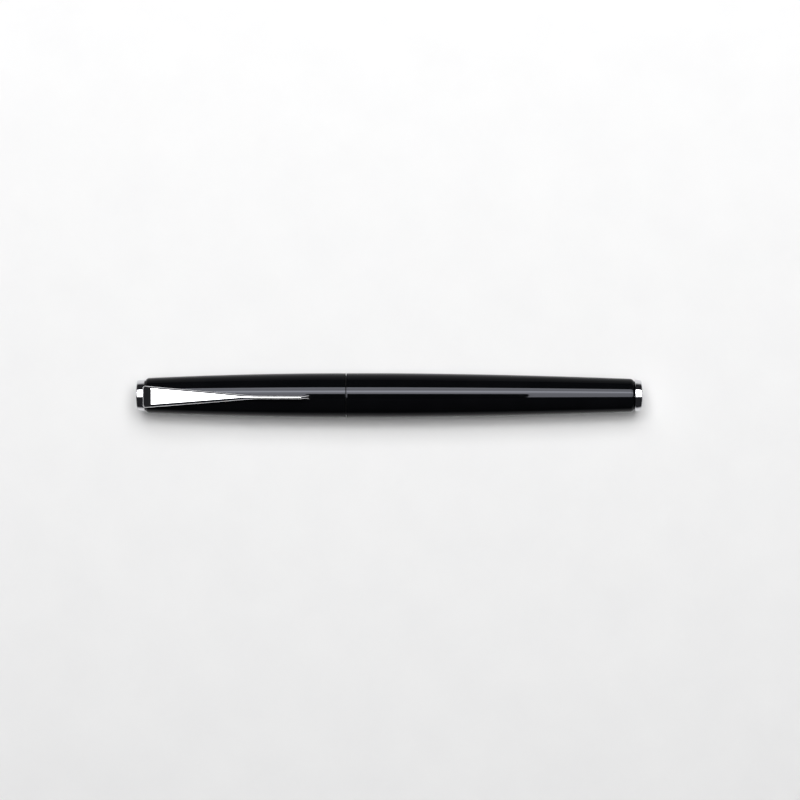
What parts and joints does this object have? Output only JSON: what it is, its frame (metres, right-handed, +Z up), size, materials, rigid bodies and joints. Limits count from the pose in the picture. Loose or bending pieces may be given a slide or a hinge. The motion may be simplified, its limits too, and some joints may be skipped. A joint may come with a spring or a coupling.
{
  "type": "fountain pen",
  "caption": "Slim lacquered fountain pen with a pull-off cap, sprung pocket clip, steel nib, screw-off barrel and piston converter.",
  "frame": {"origin": "middle of the pen's length, on the surface it lies on, straight below its axis", "axes": "+X along the pen from the cap to the barrel's end, +Y across it, +Z up through the clip"},
  "size_m": [0.14, 0.0122, 0.0148],
  "materials": {
    "black_lacquer": "high gloss lacquer",
    "polished_metal": "mirror polish",
    "black_resin": "polished resin",
    "black_plastic": "satin moulded",
    "white_plastic": "satin moulded",
    "clear_plastic": "clear polished",
    "nib_steel": "polished, faintly brushed",
    "tipping_alloy": "satin",
    "spring_steel": "drawn wire",
    "pin_steel": "turned",
    "brass": "turned",
    "seal_rubber": "matte",
    "gasket_fibre": "satin"
  },
  "bodies": {
    "section": {"grip_section": "black_resin", "trim_ring": "polished_metal", "section_coupling": "brass", "feed_collar": "black_plastic", "feed": "black_plastic", "nib": "nib_steel", "nib_tipping": "tipping_alloy"},
    "gasket": {"barrel_gasket": "gasket_fibre"},
    "barrel": {"barrel_shell": "black_lacquer", "barrel_thread_bush": "brass", "barrel_end_plug": "brass", "barrel_finial": "polished_metal"},
    "cap_ring": {"cap_snap_ring": "spring_steel"},
    "cap": {"cap_shell": "black_lacquer", "cap_liner": "white_plastic", "cap_finial": "polished_metal", "clip_block": "brass", "clip_pin": "pin_steel", "clip_spring": "spring_steel"},
    "clip": {"pocket_clip": "polished_metal"},
    "converter": {"converter_tube": "clear_plastic", "converter_collar": "black_plastic", "converter_band": "polished_metal"},
    "knob": {"converter_knob": "black_plastic", "knob_nut": "brass", "knob_end_cap": "black_plastic"},
    "piston": {"piston_rod": "white_plastic", "piston_head": "black_plastic", "piston_seals": "seal_rubber"}
  },
  "joints": [
    {"name": "cap_pull", "type": "slide", "parent": "section", "child": "cap_ring", "axis": [-1, 0, 0], "range_m": [0, 0.055]},
    {"name": "cap_turn", "type": "hinge", "parent": "cap_ring", "child": "cap", "pos_m": [0, 0, 0.00615], "axis": [1, 0, 0], "continuous": true},
    {"name": "clip_open", "type": "hinge", "parent": "cap", "child": "clip", "pos_m": [-0.0654, 0, 0.00895], "axis": [0, -1, 0], "range_deg": [0, 4], "stiffness_Nm_per_rad": 0.3, "springref_deg": -8.59, "deforming": ["clip_spring"]},
    {"name": "barrel_advance", "type": "slide", "parent": "section", "child": "gasket", "axis": [1, 0, 0], "range_m": [0, 0.006]},
    {"name": "barrel_unscrew", "type": "hinge", "parent": "gasket", "child": "barrel", "pos_m": [0, 0, 0.00615], "axis": [1, 0, 0], "range_deg": [0, 2160]},
    {"name": "converter_pull", "type": "slide", "parent": "section", "child": "converter", "axis": [1, 0, 0], "range_m": [0, 0.007]},
    {"name": "converter_twist", "type": "hinge", "parent": "converter", "child": "knob", "pos_m": [0, 0, 0.00615], "axis": [1, 0, 0], "range_deg": [0, 1620]},
    {"name": "piston_stroke", "type": "slide", "parent": "converter", "child": "piston", "axis": [-1, 0, 0], "range_m": [0, 0.018]}
  ],
  "couplings": [
    {"joint": "barrel_unscrew", "follows": "barrel_advance", "rad_per_m": 6283.2},
    {"joint": "converter_twist", "follows": "piston_stroke", "rad_per_m": 1570.8}
  ]
}
